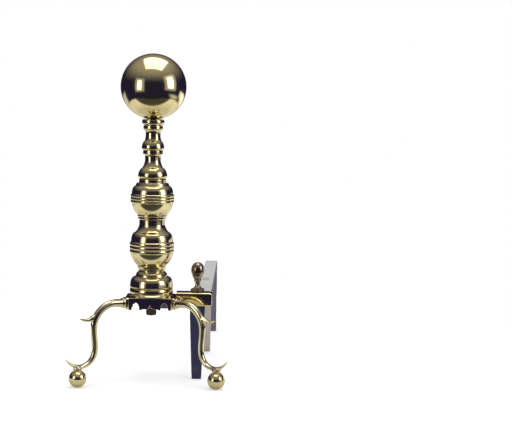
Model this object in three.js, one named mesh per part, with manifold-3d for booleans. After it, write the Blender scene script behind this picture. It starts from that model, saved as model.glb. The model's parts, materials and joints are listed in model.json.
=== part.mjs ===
// Ball-top brass andiron with spurred cabriole legs and an iron log rest.
// A brass column of turned castings stands on a scalloped plinth with two legs. An iron rod ties
// the stack together. The iron log rest leaves the plinth sideways inside a brass sheath, turns
// back as a billet bar and stands on three iron legs.
// Millimetres, +Z up. The front faces -Y, and the sheathed crossbar points to +X.
import * as THREE from "three";
import { mergeVertices } from "three/addons/utils/BufferGeometryUtils.js";
import { RoundedBoxGeometry } from "three/addons/geometries/RoundedBoxGeometry.js";
import Module from "manifold-3d";

const wasm = await Module();
wasm.setup();

// ---------------------------------------------------------------- driving dimensions

const CLEARANCE = 0.3; // running gap between pieces that fit or seat on each other
const TURNED_SIDES = 24; // facets round a column casting
const SMALL_SIDES = 16; // facets round a foot ball, the finial and the rod

const ROD_RADIUS = 4;
const ROD_POINT = 0.6; // how far the rod stands out under its nut
const ROD_ABOVE_FERRULE = 2;
const NUT_WALL = 2.05; // from its hole to a flat
const NUT_HEIGHT = 7.6;
const NUT_CHAMFER = 1.6;
const WASHER_RADIUS = 7.8;
const WASHER_THICKNESS = 2;

const PLINTH = {
  frontHalfWidth: 29,
  legFaceWidth: 11.2,
  wall: 3,
  deck: 3.8,
  topAboveLegRoot: 6.8,
  skirtDepth: 16.8,
  archCentre: 20,
  archHalfWidth: 5.2,
  archRise: 10.2,
  pendantInner: 12.2,
  bracketSlope: 1.6,
  bracketRise: 1.2,
  peakHalfWidth: 5.2,
  peakRise: 7,
};

const FOOT_BALL_RADIUS = 12;
const FOOT_WORN_FLAT = 2.4; // radius of the worn spot that a foot stands on
const FOOT_NECK = { radius: 5.1, height: 1.9, flare: 0.8, lip: 1 };
const FOOT_STUD_RADIUS = 2.2;
const FOOT_STUD_LENGTH = 3;

const LEG = {
  splay: THREE.MathUtils.degToRad(35), // turned forward from the plane of the column
  collarLength: 4,
  collarHalfHeight: 7.6,
  collarHalfWidth: 5.6,
  collarChamfer: 0.8,
  beadLength: 4.8,
  beadHalfHeight: 7.1,
  beadHalfWidth: 6.4,
  beadRounding: 1,
  boltDrop: 2.4,
  padRadius: 6.3,
};
// Stations of the leg from root to foot spur: reach from the column axis, height above the
// foot ball's neck, half thickness in the leg's own plane, half width across it.
const LEG_ROOT = { height: 85.9, halfDepth: 6.1, halfWidth: 5.6 };
const LEG_FOOT = { reach: 115.3, height: 3.1, halfDepth: 2.7, halfWidth: 4.4 }; // over the ball
const LEG_STATIONS = [
  { reach: 62, height: 86.5, halfDepth: 5.2, halfWidth: 4.8 }, // top of the arch
  { reach: 74.5, height: 82.5, halfDepth: 5.1, halfWidth: 4.5 },
  { reach: 84.5, height: 73.7, halfDepth: 5.1, halfWidth: 4.3 }, // above the knee
  { reach: 90.2, height: 61.1, halfDepth: 4.7, halfWidth: 4.0 }, // knee
  { reach: 90.6, height: 47.1, halfDepth: 4.2, halfWidth: 3.7 }, // shank
  { reach: 89, height: 29.1, halfDepth: 4.2, halfWidth: 3.6 }, // ankle, its waist drawn inward
  { reach: 90.6, height: 17.1, halfDepth: 4.0, halfWidth: 3.7 },
  { reach: 97, height: 7.7, halfDepth: 3.4, halfWidth: 4.0 }, // instep
  { reach: 106.5, height: 3.4, halfDepth: 2.9, halfWidth: 4.4 },
  LEG_FOOT,
  { reach: 124.8, height: 7, halfDepth: 1.8, halfWidth: 2.9 }, // foot spur
  { reach: 133.3, height: 14.7, halfDepth: 0.4, halfWidth: 0.6 }, // its point
];
const KNEE_SPUR_STATIONS = [
  { reach: 87.5, height: 68.4, halfDepth: 4.8, halfWidth: 3.7 },
  { reach: 96.5, height: 66.5, halfDepth: 3.6, halfWidth: 3.4 },
  { reach: 104.5, height: 66.7, halfDepth: 1.9, halfWidth: 2.2 },
  { reach: 112.5, height: 69.2, halfDepth: 0.4, halfWidth: 0.5 },
];
const LEG_RINGS = 26;
const SPUR_RINGS = 6;

const BOLT_RADIUS = 3;
const BOLT_HEAD = 8.2; // side of its square head
const BOLT_HEAD_THICKNESS = 4;
const BOLT_GRIP = 8; // how far it screws into the leg

const BALL_RADIUS = 45.7;
const BALL_WALL = 2.2;
const BALL_INSIDE_STEPS = 10;
const FERRULE_RADIUS = 8.6;
const FERRULE_FLANGE_RADIUS = 12.5;
const FERRULE_FLANGE = 3;
const FERRULE_BARREL = 2; // how far its barrel stands above the flange
const CASTING_WALL = 3.2;
const CAVITY_STEP = 6; // how finely a casting's cavity follows its outside

const SHEATH = { length: 49.9, rise: 6.5, height: 19.7, depth: 22, wall: 1.3, corner: 2.8 };

const BAR = {
  width: 19.8,
  length: 390, // from the column axis to the back of the rear leg
  eyeRadius: 13,
  eyeThickness: 12.9,
  bend: 9, // outer radius where the bar turns down
  innerBend: 6,
  rearLegThickness: 12,
};

const FRONT_LEG = {
  fromSheathEnd: 20.6,
  topWidth: 21.5,
  footWidth: 13.5,
  topThickness: 10.5,
  footThickness: 8,
};
const TENON_RADIUS = 3;
const TENON_GRIP = 5.2; // how far the front leg's tenon screws into the finial

const MIDDLE_LEG = {
  y: 138, // behind the column axis
  inset: 1.2, // from the middle of the bar towards the column
  rake: 64, // how far back its foot lies from its top
  bendHeight: 76,
  topWidth: 17,
  footWidth: 12,
  thickness: 8,
  tenonRadius: 3.8,
  countersink: 1.8, // how deep the riveted head sinks into the bar
  headRadius: 5.2,
  headHeight: 3.6, // above the bar
};

// ---------------------------------------------------------------- materials

const brass = (color, roughness) =>
  new THREE.MeshStandardMaterial({ color, roughness, metalness: 1 });
const iron = (color, roughness) =>
  new THREE.MeshStandardMaterial({ color, roughness, metalness: 0.8 });
const POLISHED = brass(0xd9b75a, 0.12);
const CAST = brass(0xcfae58, 0.22);
const BLACK_IRON = iron(0x3c3f4a, 0.55);
const WORN_IRON = iron(0x8d8c90, 0.5);
const RUSTED = iron(0x4a3b40, 0.6);

// ---------------------------------------------------------------- solids

// A manifold solid of a closed three.js geometry, turned right side out if need be.
function solidOf(geometry) {
  const bare = geometry.clone();
  bare.deleteAttribute("normal");
  bare.deleteAttribute("uv");
  const merged = mergeVertices(bare, 1e-4);
  const vertProperties = Float32Array.from(merged.attributes.position.array);
  const corners = Array.from(merged.index.array);
  const triangles = [];
  for (let i = 0; i < corners.length; i += 3) {
    const [a, b, c] = corners.slice(i, i + 3);
    if (a !== b && b !== c && c !== a) triangles.push([a, b, c]);
  }
  if (signedVolume(vertProperties, triangles) < 0) {
    triangles.forEach((t) => t.reverse());
  }
  const triVerts = Uint32Array.from(triangles.flat());
  return new wasm.Manifold(new wasm.Mesh({ numProp: 3, vertProperties, triVerts }));
}

function signedVolume(positions, triangles) {
  const point = (i) => new THREE.Vector3().fromArray(positions, 3 * i);
  let six = 0;
  for (const [a, b, c] of triangles) six += point(a).dot(point(b).cross(point(c)));
  return six / 6;
}

function geometryOf(solid) {
  const mesh = solid.getMesh();
  const geometry = new THREE.BufferGeometry();
  geometry.setAttribute("position", new THREE.BufferAttribute(mesh.vertProperties, 3));
  geometry.setIndex(new THREE.BufferAttribute(mesh.triVerts, 1));
  const flat = geometry.toNonIndexed();
  flat.computeVertexNormals();
  return flat;
}

// A profile of [radius, height] points turned round the Z axis.
function turned(points, sides = TURNED_SIDES) {
  const profile = points.map(([radius, height]) => new THREE.Vector2(radius, height));
  return solidOf(new THREE.LatheGeometry(profile, sides).rotateX(Math.PI / 2));
}

const cylinder = (radius, bottom, top, sides = SMALL_SIDES) =>
  turned([[0, bottom], [radius, bottom], [radius, top], [0, top]], sides);

function box(x, y, z) {
  const geometry = new THREE.BoxGeometry(x[1] - x[0], y[1] - y[0], z[1] - z[0]);
  return solidOf(geometry.translate((x[0] + x[1]) / 2, (y[0] + y[1]) / 2, (z[0] + z[1]) / 2));
}

// A flat outline pushed straight up from one height to another.
function prism(points, bottom, top) {
  const shape = new THREE.Shape(points.map(([x, y]) => new THREE.Vector2(x, y)));
  const geometry = new THREE.ExtrudeGeometry(shape, { depth: top - bottom, bevelEnabled: false });
  return solidOf(geometry.translate(0, 0, bottom));
}

// An outline in the X-Z plane pushed along Y, centred on Y = 0.
function cutAlongY(points, reach) {
  const shape = new THREE.Shape(points.map(([x, z]) => new THREE.Vector2(x, z)));
  const geometry = new THREE.ExtrudeGeometry(shape, { depth: 2 * reach, bevelEnabled: false });
  return solidOf(geometry.rotateX(Math.PI / 2).translate(0, reach, 0));
}

// A skin over rings of equal point count, closed by a fan at each end.
function loft(rings) {
  const count = rings[0].length;
  const points = rings.flat();
  const faces = [];
  for (let r = 0; r + 1 < rings.length; r += 1) {
    for (let i = 0; i < count; i += 1) {
      const a = r * count + i;
      const b = r * count + ((i + 1) % count);
      faces.push(a, b, a + count, b, b + count, a + count);
    }
  }
  const last = (rings.length - 1) * count;
  for (let i = 1; i + 1 < count; i += 1) {
    faces.push(0, i + 1, i, last, last + i, last + i + 1);
  }
  const geometry = new THREE.BufferGeometry().setFromPoints(points);
  geometry.setIndex(faces);
  return solidOf(geometry);
}

// Points on a quarter-like curve from one profile point to another, bent towards a third.
function bow([r0, z0], [rc, zc], [r1, z1], steps = 4) {
  const curve = new THREE.QuadraticBezierCurve(
    new THREE.Vector2(r0, z0), new THREE.Vector2(rc, zc), new THREE.Vector2(r1, z1));
  return curve.getPoints(steps).map((p) => [p.x, p.y]);
}

// Reeds: round ribs side by side up a turned band, with sharp grooves between them.
function reeds(count, groove, crest, bottom, top) {
  const pitch = (top - bottom) / count;
  const points = [[groove, bottom]];
  for (let i = 0; i < count; i += 1) {
    const start = bottom + i * pitch;
    points.push([crest, start + 0.28 * pitch], [crest, start + 0.72 * pitch]);
    points.push([groove, start + pitch]);
  }
  return points;
}

// ---------------------------------------------------------------- places

// A foot ball: its middle, the top of its round and the top of its neck.
const footBallCentre = Math.sqrt(FOOT_BALL_RADIUS ** 2 - FOOT_WORN_FLAT ** 2);
const footBallTop = footBallCentre + Math.sqrt(FOOT_BALL_RADIUS ** 2 - FOOT_NECK.radius ** 2);
const footNeckTop = footBallTop + FOOT_NECK.height;
const padBottom = footNeckTop + CLEARANCE;

// The plinth: its canted faces are square to the legs, whose middle lines meet at the column.
const sin = Math.sin(LEG.splay);
const cos = Math.cos(LEG.splay);
const rootHeight = padBottom + LEG_ROOT.height;
const plinthTop = rootHeight + PLINTH.topAboveLegRoot;
const deckUnderside = plinthTop - PLINTH.deck;
const plinthBottom = plinthTop - PLINTH.skirtDepth;
const plinthFront = (PLINTH.frontHalfWidth * sin + PLINTH.legFaceWidth / 2) / cos;
const plinthSide = PLINTH.frontHalfWidth + PLINTH.legFaceWidth * sin;
const legFace = PLINTH.frontHalfWidth * cos + plinthFront * sin;
const bore = ROD_RADIUS + CLEARANCE;

// The sheath, and the crossbar's core inside it.
const sheathStart = plinthSide + CLEARANCE;
const sheathEnd = sheathStart + SHEATH.length;
const sheathTop = plinthTop + SHEATH.rise;
const sheathBottom = sheathTop - SHEATH.height;
const coreEnd = sheathEnd - SHEATH.wall - CLEARANCE;
const coreBottom = sheathBottom + SHEATH.wall + CLEARANCE;
const coreTop = sheathTop - SHEATH.wall - CLEARANCE;
const coreHalfDepth = SHEATH.depth / 2 - SHEATH.wall - CLEARANCE;
const barStart = coreEnd - BAR.width;
const barMiddle = barStart + BAR.width / 2;
const frontLegX = sheathEnd - FRONT_LEG.fromSheathEnd;
const middleLegX = barMiddle - MIDDLE_LEG.inset;

// The crossbar's eye under the plinth's deck, and what is screwed up against it.
const eyeTop = deckUnderside - CLEARANCE;
const eyeBottom = eyeTop - BAR.eyeThickness;
const washerTop = eyeBottom - CLEARANCE;
const nutTop = washerTop - WASHER_THICKNESS - CLEARANCE;
const nutBottom = nutTop - NUT_HEIGHT;

// ---------------------------------------------------------------- turned brass column

// Each casting is [name, outline from its bottom up, whether it is hollow]. The outline's heights
// start at zero.
const castings = [
  ["base_band", [
    [31.6, 0], [31.6, 2.1], [29.5, 2.9],
    ...bow([29.5, 2.9], [31.2, 7], [29.5, 11], 3).slice(1),
    [28.6, 11.8],
  ], true],
  ["base_dome", [
    [29.2, 0],
    ...bow([29.2, 0], [30.6, 0.4], [30, 3], 2).slice(1),
    ...bow([30, 3], [29.6, 12.6], [25.2, 14.6], 4).slice(1),
    [22.4, 15.2],
    ...bow([22.4, 15.2], [22, 20.4], [18.4, 22.4], 3).slice(1),
    [18, 23], [18, 24.4],
  ], true],
  ["lower_ring_ball", [
    [18.2, 0], [18.2, 1.2], [19.2, 1.8], [19.7, 5.4], [19.3, 6],
    ...bow([20.6, 6.6], [27.8, 13.2], [29.6, 23.6], 4),
    ...reeds(3, 29.7, 30.9, 24, 39.4),
    ...bow([29.3, 40], [28.9, 49.6], [25.4, 52.2], 3),
    [24.4, 52.6],
    ...bow([24.4, 52.6], [19.4, 56], [17.9, 64.4], 3).slice(1),
    [17.9, 71.3], [19.6, 72.1], [19.6, 75.2], [20.8, 76], [20.8, 77.7],
  ], true],
  ["upper_ring_ball", [
    [20.9, 0],
    ...bow([20.9, 0], [26.4, 5.6], [29, 16], 4).slice(1),
    ...reeds(3, 29.2, 30.4, 16.4, 28.6),
    ...bow([29, 29.2], [28.9, 36.2], [25.4, 39.6], 3),
    [23.8, 40.2], [22.4, 44], [18.9, 44.6], [18.9, 49], [18.3, 50],
  ], true],
  ["second_baluster", [
    [18.2, 0],
    ...bow([18.2, 0], [20.9, 2.2], [20.3, 5], 2).slice(1),
    ...bow([20.3, 5], [19.6, 10.5], [16.4, 14], 3).slice(1),
    [15.1, 14.4],
    ...bow([15.1, 14.4], [11.8, 19.4], [10.9, 25.4], 3).slice(1),
    [10.9, 29.6],
    ...bow([10.9, 29.6], [11, 32.6], [12.3, 33.8], 2).slice(1),
    [13.7, 34.4], [13.7, 39.2], [13.1, 39.7],
  ], false],
  ["neck_baluster", [
    [14.1, 0],
    ...bow([14.1, 0], [15.9, 1.2], [15.7, 3.6], 2).slice(1),
    ...bow([15.7, 3.6], [15.2, 8.6], [12.9, 11.8], 3).slice(1),
    [11.9, 12.2],
    ...bow([11.9, 12.2], [10.5, 16.4], [10.3, 20], 3).slice(1),
    [10.3, 22.6],
    ...bow([10.3, 22.6], [10.4, 26], [12.9, 28.5], 3).slice(1),
  ], false],
  ["ball_collar", [
    [12.9, 0], [13.5, 0.7], [13.5, 4.6], [12.3, 5.4], [12.3, 6.2],
    ...bow([13.2, 6.4], [15.7, 7.2], [15.6, 10.4], 2),
    ...bow([15.6, 10.4], [15.7, 13.6], [12.6, 14.2], 2).slice(1),
  ], false],
];

// The least radius of an outline between two heights.
function slimmest(outside, low, high) {
  let least = Infinity;
  for (let i = 0; i + 1 < outside.length; i += 1) {
    const [r0, z0] = outside[i];
    const [r1, z1] = outside[i + 1];
    if (z1 < low || z0 > high || z1 <= z0) continue;
    for (const z of [Math.max(z0, low), Math.min(z1, high)]) {
      least = Math.min(least, r0 + ((z - z0) / (z1 - z0)) * (r1 - r0));
    }
  }
  return least;
}

// The closed profile of a casting: its outside up, then back down its bore. A hollow one has a
// cavity that keeps a wall's thickness inside the outline and inside both ends.
function castingProfile(outside, hollow) {
  const bottom = outside[0][1];
  const top = outside[outside.length - 1][1];
  const depth = top - bottom - 2 * CASTING_WALL;
  const steps = Math.ceil(depth / CAVITY_STEP);
  const cavity = [];
  for (let i = 0; hollow && i <= steps; i += 1) {
    const z = top - CASTING_WALL - (i / steps) * depth;
    const wallFoot = slimmest(outside, z - CAVITY_STEP, z + CAVITY_STEP) - CASTING_WALL;
    cavity.push([Math.max(wallFoot, bore + 1), z]);
  }
  const ends = hollow ? [[bore, top - CASTING_WALL], ...cavity, [bore, bottom + CASTING_WALL]] : [];
  return [...outside, [bore, top], ...ends, [bore, bottom], outside[0]];
}

let seat = plinthTop + CLEARANCE;
const column = castings.map(([name, outside, hollow]) => {
  const bottom = seat;
  seat = bottom + outside[outside.length - 1][1] + CLEARANCE;
  return { name, bottom, solid: turned(castingProfile(outside, hollow)) };
});
const columnTop = seat;

// The hollow ball, open at the bottom where the ferrule passes.
const ballOpening = FERRULE_RADIUS + CLEARANCE;
const ballCentre = columnTop + Math.sqrt(BALL_RADIUS ** 2 - ballOpening ** 2);

const ballInside = BALL_RADIUS - BALL_WALL;

function ballProfile() {
  const arc = (radius, steps) => {
    const from = -Math.acos(ballOpening / radius);
    return Array.from({ length: steps + 1 }, (_, i) => {
      const angle = from + (i / steps) * (Math.PI / 2 - from);
      return [i === steps ? 0 : radius * Math.cos(angle), radius * Math.sin(angle)];
    });
  };
  return [...arc(BALL_RADIUS, 16).reverse(), ...arc(ballInside, BALL_INSIDE_STEPS)];
}

// The ferrule's flange clamps the ball from inside, its barrel fills the ball's opening. The
// flat facets inside the ball stand proud of its true round by at most facetSag.
const facetSag = ballInside * (1 - Math.cos(Math.PI / (2 * BALL_INSIDE_STEPS)));
const flangeDrop = Math.sqrt(ballInside ** 2 - FERRULE_FLANGE_RADIUS ** 2);
const flangeSeat = ballCentre - flangeDrop + facetSag + CLEARANCE;
const flangeTop = flangeSeat + FERRULE_FLANGE;
const ferruleTop = flangeTop + FERRULE_BARREL;

function ferrule() {
  return turned([
    [bore, columnTop],
    [FERRULE_RADIUS, columnTop],
    [FERRULE_RADIUS, flangeSeat],
    [FERRULE_FLANGE_RADIUS, flangeSeat],
    [FERRULE_FLANGE_RADIUS, flangeTop],
    [FERRULE_RADIUS, flangeTop],
    [FERRULE_RADIUS, ferruleTop],
    [bore, ferruleTop],
    [bore, columnTop],
  ], SMALL_SIDES);
}

// ---------------------------------------------------------------- plinth

// The plinth's plan, drawn in from its outside: flat front and back, canted leg faces, flat sides.
function plinthPlan(inset) {
  const y = plinthFront - inset;
  const x = plinthSide - inset;
  const face = legFace - inset;
  const frontX = (face - y * sin) / cos;
  const sideY = (face - x * cos) / sin;
  return [
    [-frontX, -y], [frontX, -y], [x, -sideY], [x, sideY],
    [frontX, y], [-frontX, y], [-x, sideY], [-x, -sideY],
  ];
}

// The openings under the skirt: an arch at each side and a pointed bracket in the middle.
function scallopCuts() {
  const below = plinthBottom - 1;
  const reach = plinthFront + 1;
  const steps = 8;
  const arch = (side) => {
    const points = [];
    for (let i = 0; i <= steps; i += 1) {
      const angle = (Math.PI * i) / steps;
      const x = side * PLINTH.archCentre + PLINTH.archHalfWidth * Math.cos(angle);
      points.push([x, plinthBottom + PLINTH.archRise * Math.sin(angle)]);
    }
    points.push([side * PLINTH.archCentre - PLINTH.archHalfWidth, below]);
    points.push([side * PLINTH.archCentre + PLINTH.archHalfWidth, below]);
    return cutAlongY(points, reach);
  };
  const bracketEnd = PLINTH.pendantInner - PLINTH.bracketSlope;
  const bracketTop = plinthBottom + PLINTH.bracketRise;
  const bracket = cutAlongY([
    [-PLINTH.pendantInner, below],
    [PLINTH.pendantInner, below],
    [bracketEnd, bracketTop],
    [PLINTH.peakHalfWidth, bracketTop],
    [0, plinthBottom + PLINTH.peakRise],
    [-PLINTH.peakHalfWidth, bracketTop],
    [-bracketEnd, bracketTop],
  ], reach);
  return arch(-1).add(arch(1)).add(bracket);
}

function plinth() {
  const outer = prism(plinthPlan(0), plinthBottom, plinthTop);
  const inner = prism(plinthPlan(PLINTH.wall), plinthBottom - 1, deckUnderside);
  const halfWay = coreHalfDepth + CLEARANCE;
  const barWay = box([0, plinthSide + 1], [-halfWay, halfWay], [plinthBottom - 1, deckUnderside]);
  let solid = outer.subtract(inner).subtract(scallopCuts()).subtract(barWay);
  solid = solid.subtract(cylinder(bore, deckUnderside - 1, plinthTop + 1));
  for (const turn of [-LEG.splay, Math.PI + LEG.splay]) {
    const hole = alongX(BOLT_RADIUS + CLEARANCE, 0, legFace + 1, boltHeight);
    solid = solid.subtract(hole.rotate([0, 0, THREE.MathUtils.radToDeg(turn)]));
  }
  return solid;
}

// ---------------------------------------------------------------- legs

const boltHeight = rootHeight - LEG.boltDrop;
const legStart = legFace + CLEARANCE;
const collarEnd = legStart + LEG.collarLength;

// A round bar along X at a height.
function alongX(radius, from, to, height) {
  return cylinder(radius, from, to).rotate([0, 90, 0]).translate([0, 0, height]);
}

// An eight-sided section with flat flanks, bevelled above and below.
const SECTION = [
  [1, 0.42], [0.5, 1], [-0.5, 1], [-1, 0.42], [-1, -0.42], [-0.5, -1], [0.5, -1], [1, -0.42],
];

// Rings square to a curve through the stations, in the X-Z plane.
function rings(stations, steps) {
  const places = stations.map((s) => new THREE.Vector3(s.reach, 0, padBottom + s.height));
  const sizes = stations.map((s) => new THREE.Vector3(s.halfWidth, s.halfDepth, 0));
  const route = new THREE.CatmullRomCurve3(places, false, "catmullrom", 0.5);
  const girth = new THREE.CatmullRomCurve3(sizes, false, "catmullrom", 0.3);
  return Array.from({ length: steps + 1 }, (_, i) => {
    const t = i / steps;
    const centre = route.getPoint(t);
    const tangent = route.getTangent(t);
    const up = new THREE.Vector3(-tangent.z, 0, tangent.x);
    const size = girth.getPoint(t);
    return SECTION.map(([across, along]) => centre.clone()
      .addScaledVector(up, along * size.y)
      .add(new THREE.Vector3(0, across * size.x, 0)));
  });
}

// The square-shouldered collar and the bead between it and the leg.
function rootCollar() {
  const ring = (reach, halfHeight, halfWidth) =>
    SECTION.map(([across, along]) => new THREE.Vector3(
      reach, across * halfWidth, rootHeight + along * halfHeight));
  const { collarHalfHeight, collarHalfWidth, collarChamfer } = LEG;
  const { beadLength, beadHalfHeight, beadHalfWidth, beadRounding } = LEG;
  const beadEnds = [beadHalfHeight - beadRounding, beadHalfWidth - beadRounding];
  return loft([
    ring(legStart, collarHalfHeight, collarHalfWidth),
    ring(collarEnd - collarChamfer, collarHalfHeight, collarHalfWidth),
    ring(collarEnd, collarHalfHeight - collarChamfer, collarHalfWidth - collarChamfer),
    ring(collarEnd + 0.1 * beadLength, ...beadEnds),
    ring(collarEnd + 0.35 * beadLength, beadHalfHeight, beadHalfWidth),
    ring(collarEnd + 0.7 * beadLength, beadHalfHeight, beadHalfWidth),
    ring(collarEnd + beadLength, ...beadEnds),
  ]);
}

function leg() {
  const studTop = padBottom + FOOT_STUD_LENGTH + CLEARANCE;
  const boltEnd = legStart + BOLT_GRIP + CLEARANCE;
  const body = loft(rings([{ ...LEG_ROOT, reach: collarEnd }, ...LEG_STATIONS], LEG_RINGS));
  const spur = loft(rings(KNEE_SPUR_STATIONS, SPUR_RINGS));
  const pad = cylinder(LEG.padRadius, padBottom, padBottom + LEG_FOOT.height)
    .translate([LEG_FOOT.reach, 0, 0]);
  const studHole = cylinder(FOOT_STUD_RADIUS + CLEARANCE, padBottom - 1, studTop, 12)
    .translate([LEG_FOOT.reach, 0, 0]);
  const boltHole = alongX(BOLT_RADIUS + CLEARANCE, legStart - 1, boltEnd, boltHeight);
  return body.add(rootCollar()).add(spur).add(pad).subtract(studHole).subtract(boltHole);
}

// The square-headed iron bolt that draws a leg against the plinth from inside.
function legBolt() {
  const headStart = legFace - PLINTH.wall - CLEARANCE - BOLT_HEAD_THICKNESS;
  const half = BOLT_HEAD / 2;
  const head = box([headStart, headStart + BOLT_HEAD_THICKNESS], [-half, half],
    [boltHeight - half, boltHeight + half]);
  return head.add(alongX(BOLT_RADIUS, headStart + 1, legStart + BOLT_GRIP, boltHeight));
}

// A ball with a worn spot below and a neck above, whose stud screws up into the leg.
function footBall() {
  const start = -Math.acos(FOOT_WORN_FLAT / FOOT_BALL_RADIUS);
  const end = Math.acos(FOOT_NECK.radius / FOOT_BALL_RADIUS);
  const steps = 9;
  const points = [[0, 0]];
  for (let i = 0; i <= steps; i += 1) {
    const angle = start + (i / steps) * (end - start);
    const height = footBallCentre + FOOT_BALL_RADIUS * Math.sin(angle);
    points.push([FOOT_BALL_RADIUS * Math.cos(angle), height]);
  }
  const lip = FOOT_NECK.radius + FOOT_NECK.flare;
  points.push([lip, footNeckTop - FOOT_NECK.lip], [lip, footNeckTop]);
  points.push([FOOT_STUD_RADIUS, footNeckTop]);
  points.push([FOOT_STUD_RADIUS, footNeckTop + FOOT_STUD_LENGTH]);
  points.push([0, footNeckTop + FOOT_STUD_LENGTH]);
  return turned(points, SMALL_SIDES);
}

// ---------------------------------------------------------------- sheath and iron log rest

// The brass sheath over the crossbar: a rounded box, open at the plinth and at the back.
function sheath() {
  const spare = 2 * SHEATH.corner;
  const length = SHEATH.length + spare;
  const block = new RoundedBoxGeometry(length, SHEATH.depth, SHEATH.height, 2, SHEATH.corner);
  block.translate(sheathEnd - length / 2, 0, (sheathBottom + sheathTop) / 2);
  const half = SHEATH.depth / 2 - SHEATH.wall;
  const inside = [sheathBottom + SHEATH.wall, sheathTop - SHEATH.wall];
  const outside = [sheathBottom - 1, sheathTop + 1];
  const insideEnd = sheathEnd - SHEATH.wall;
  const spareEnd = box([sheathStart - 2 * spare, sheathStart], [-SHEATH.depth, SHEATH.depth], outside);
  const core = box([sheathStart - 1, insideEnd], [-half, half], inside);
  const barWay = box([barStart - CLEARANCE, insideEnd], [0, SHEATH.depth], inside);
  const tenonHole = cylinder(TENON_RADIUS + CLEARANCE, ...outside).translate([frontLegX, 0, 0]);
  return solidOf(block).subtract(spareEnd).subtract(core).subtract(barWay).subtract(tenonHole);
}

// The log rest's forging: an eye under the column, the crossbar through the sheath, the billet
// bar running back and its end turned down as the rear leg.
function billetBar() {
  const throughWall = plinthSide - PLINTH.wall - 1;
  const depth = [-coreHalfDepth, coreHalfDepth];
  const eye = cylinder(BAR.eyeRadius, eyeBottom, eyeTop);
  const inner = box([0, throughWall], depth, [eyeBottom, eyeTop]);
  const neck = box([throughWall - 1, sheathStart + 1], depth, [coreBottom, eyeTop]);
  const core = box([sheathStart + 1, coreEnd], depth, [coreBottom, coreTop]);
  const legFront = BAR.length - BAR.rearLegThickness;
  const outerBend = bow(
    [BAR.length, coreTop - BAR.bend], [BAR.length, coreTop], [BAR.length - BAR.bend, coreTop]);
  const run = cutAlongY([
    [0, coreBottom],
    [legFront - BAR.innerBend, coreBottom],
    [legFront, coreBottom - BAR.innerBend],
    [legFront, 0],
    [BAR.length, 0],
    ...outerBend,
    [0, coreTop],
  ], BAR.width / 2).rotate([0, 0, 90]).translate([barMiddle, 0, 0]);
  const tenonHole = cylinder(TENON_RADIUS + CLEARANCE, 0, sheathTop).translate([frontLegX, 0, 0]);
  const rivetHole = rivet(CLEARANCE, sheathTop, [[MIDDLE_LEG.headRadius + CLEARANCE, sheathTop]])
    .translate([middleLegX, MIDDLE_LEG.y, 0]);
  return eye.add(inner).add(neck).add(core).add(run)
    .subtract(cylinder(bore, 0, plinthTop)).subtract(tenonHole).subtract(rivetHole);
}

// A flat iron leg that tapers from its top to its foot.
function taperedLeg(top, topSize, footSize) {
  const corners = [[-0.5, -0.5], [0.5, -0.5], [0.5, 0.5], [-0.5, 0.5]];
  const ring = (z, [width, thickness]) =>
    corners.map(([x, y]) => new THREE.Vector3(x * width, y * thickness, z));
  return loft([ring(0, footSize), ring(top, topSize)]);
}

// The front leg, shouldered under the sheath, with a tenon up through it into the finial.
function frontLeg() {
  const top = sheathBottom - CLEARANCE;
  const blade = taperedLeg(
    top,
    [FRONT_LEG.topWidth, FRONT_LEG.topThickness],
    [FRONT_LEG.footWidth, FRONT_LEG.footThickness],
  );
  return blade.add(cylinder(TENON_RADIUS, top - 1, sheathTop + CLEARANCE + TENON_GRIP));
}

// The tenon of the middle leg and its countersunk head, or with a margin the hole for them.
function rivet(margin, top, crown) {
  const { tenonRadius, headRadius, countersink } = MIDDLE_LEG;
  return turned([
    [0, coreBottom - CLEARANCE - 1],
    [tenonRadius + margin, coreBottom - CLEARANCE - 1],
    [tenonRadius + margin, coreTop - countersink - margin],
    [headRadius + margin, coreTop - margin],
    ...crown,
    [0, top],
  ], SMALL_SIDES);
}

// The middle leg: riveted through the bar, straight at first and then raked back to its foot.
function middleLeg() {
  const { rake, bendHeight, topWidth, footWidth, headRadius, headHeight } = MIDDLE_LEG;
  const top = coreBottom - CLEARANCE;
  const half = MIDDLE_LEG.thickness / 2;
  const bend = bow([0, top], [0, bendHeight], [rake / 2, bendHeight / 2], 6);
  const centre = [...bend, [rake, 0]];
  const ring = ([y, z], i) => {
    const width = THREE.MathUtils.lerp(footWidth, topWidth, z / top) / 2;
    const atEnd = i === 0 || i === centre.length - 1;
    const next = centre[Math.min(i + 1, centre.length - 1)];
    const last = centre[Math.max(i - 1, 0)];
    const slope = atEnd ? 0 : Math.atan2(next[0] - last[0], last[1] - next[1]);
    const dy = half * Math.cos(slope);
    const dz = half * Math.sin(slope);
    const corners = [[-1, -1], [-1, 1], [1, 1], [1, -1]];
    return corners.map(([side, face]) =>
      new THREE.Vector3(side * width, y + face * dy, z + face * dz));
  };
  const headTop = coreTop + headHeight;
  const dome = bow([headRadius, coreTop], [headRadius, headTop], [0, headTop]).slice(1, -1);
  return loft(centre.map(ring)).add(rivet(0, headTop, dome));
}

// ---------------------------------------------------------------- finial, rod, nut and washer

// The log stop: a foot, a slim stem with a ring, and an acorn whose cap overhangs its cup.
function finial() {
  const socket = TENON_RADIUS + CLEARANCE;
  const socketTop = TENON_GRIP + CLEARANCE;
  return turned([
    [socket, 0], [6.6, 0], [6.6, 0.8], [9.6, 1.4], [9.8, 3.4],
    ...bow([8.6, 4.2], [4.4, 5.4], [3.5, 9.2], 3),
    [3.3, 13.6], [4.6, 14.6], [5.3, 16], [5.2, 17.2],
    ...bow([4.4, 17.9], [7.6, 20], [8.2, 26], 3),
    [9, 26.5],
    ...bow([9.3, 29.4], [9.3, 38.6], [3.4, 41.2], 4),
    [0, 41.9],
    [0, socketTop],
    [socket, socketTop],
    [socket, 0],
  ], SMALL_SIDES);
}

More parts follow.
